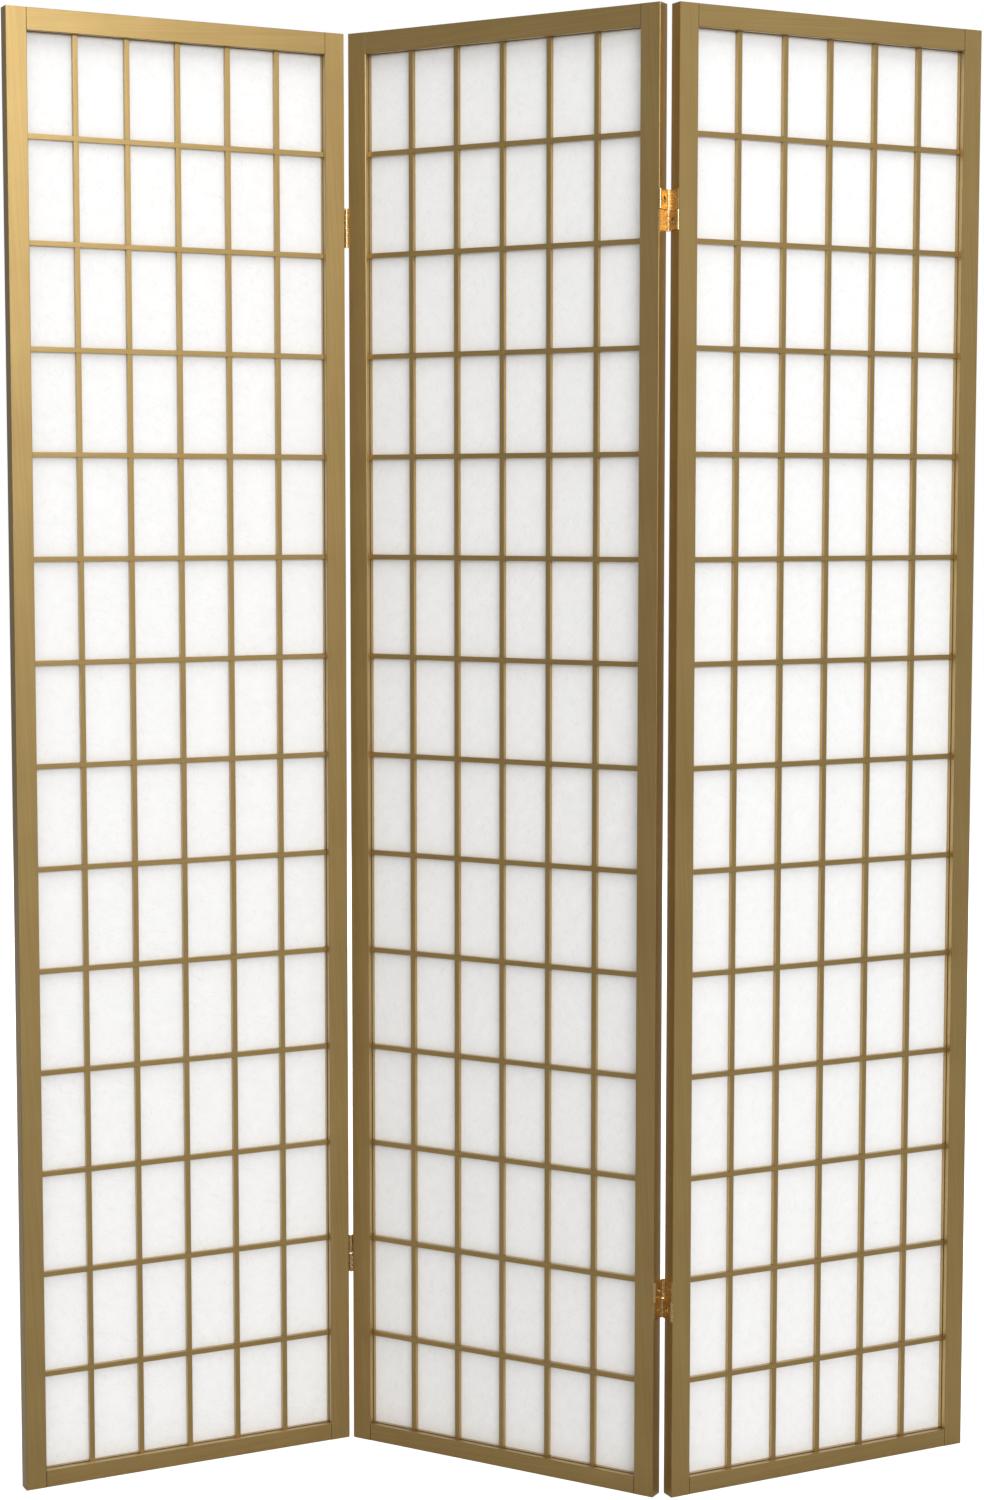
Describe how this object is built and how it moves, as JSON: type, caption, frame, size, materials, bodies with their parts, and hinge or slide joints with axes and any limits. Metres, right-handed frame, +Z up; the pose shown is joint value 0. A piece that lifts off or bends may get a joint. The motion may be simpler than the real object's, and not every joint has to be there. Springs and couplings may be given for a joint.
{
  "type": "folding shoji screen",
  "caption": "Free-standing folding shoji screen: gold-painted lattice panels backed with white paper, joined by brass two-way link hinges.",
  "frame": {"origin": "on the floor, at the middle of the centre panel", "axes": "+Z up, X along the run of the screen, -Y is the lattice side; the panels stand in a zigzag, 28 degrees to each side of X"},
  "size_m": [1.1754, 0.227, 1.784],
  "materials": {
    "gold_frame": "satin gold paint over straight-grained softwood",
    "gold_lattice": "satin gold paint on thin softwood bars",
    "shoji_paper": "matt white fibre paper, slightly mottled",
    "brass_hinge": "pressed brass, polished",
    "brass_screw": "brass-plated countersunk screws",
    "beech_dowel": "bare beech, hidden inside the corners"
  },
  "bodies": {
    "centre_panel": {"centre_panel_left_stile": "gold_frame", "centre_panel_right_stile": "gold_frame", "centre_panel_top_rail": "gold_frame", "centre_panel_bottom_rail": "gold_frame", "centre_panel_uprights": "gold_lattice", "centre_panel_crossbars": "gold_lattice", "centre_panel_edge_strips": "gold_lattice", "centre_panel_paper": "shoji_paper", "centre_panel_battens": "gold_lattice", "centre_panel_dowels": "beech_dowel", "centre_panel_screws": "brass_screw", "centre_panel_hinge_pins": "brass_hinge", "left_top_hinge_right_leaf": "brass_hinge", "left_top_hinge_upper_link": "brass_hinge", "left_bottom_hinge_right_leaf": "brass_hinge", "left_bottom_hinge_upper_link": "brass_hinge", "right_top_hinge_left_leaf": "brass_hinge", "right_top_hinge_upper_link": "brass_hinge", "right_bottom_hinge_left_leaf": "brass_hinge", "right_bottom_hinge_upper_link": "brass_hinge"},
    "left_panel": {"left_panel_left_stile": "gold_frame", "left_panel_right_stile": "gold_frame", "left_panel_top_rail": "gold_frame", "left_panel_bottom_rail": "gold_frame", "left_panel_uprights": "gold_lattice", "left_panel_crossbars": "gold_lattice", "left_panel_edge_strips": "gold_lattice", "left_panel_paper": "shoji_paper", "left_panel_battens": "gold_lattice", "left_panel_dowels": "beech_dowel", "left_panel_screws": "brass_screw", "left_panel_hinge_pins": "brass_hinge", "left_top_hinge_left_leaf": "brass_hinge", "left_top_hinge_lower_link": "brass_hinge", "left_bottom_hinge_left_leaf": "brass_hinge", "left_bottom_hinge_lower_link": "brass_hinge"},
    "right_panel": {"right_panel_left_stile": "gold_frame", "right_panel_right_stile": "gold_frame", "right_panel_top_rail": "gold_frame", "right_panel_bottom_rail": "gold_frame", "right_panel_uprights": "gold_lattice", "right_panel_crossbars": "gold_lattice", "right_panel_edge_strips": "gold_lattice", "right_panel_paper": "shoji_paper", "right_panel_battens": "gold_lattice", "right_panel_dowels": "beech_dowel", "right_panel_screws": "brass_screw", "right_panel_hinge_pins": "brass_hinge", "right_top_hinge_right_leaf": "brass_hinge", "right_top_hinge_lower_link": "brass_hinge", "right_bottom_hinge_right_leaf": "brass_hinge", "right_bottom_hinge_lower_link": "brass_hinge"}
  },
  "joints": [
    {"name": "left_fold", "type": "hinge", "parent": "centre_panel", "child": "left_panel", "pos_m": [-0.19681, 0.09208, 0.9], "axis": [0, 0, 1], "range_deg": [-56, 124]},
    {"name": "right_fold", "type": "hinge", "parent": "centre_panel", "child": "right_panel", "pos_m": [0.19681, -0.09208, 0.9], "axis": [0, 0, 1], "range_deg": [-56, 124]}
  ]
}
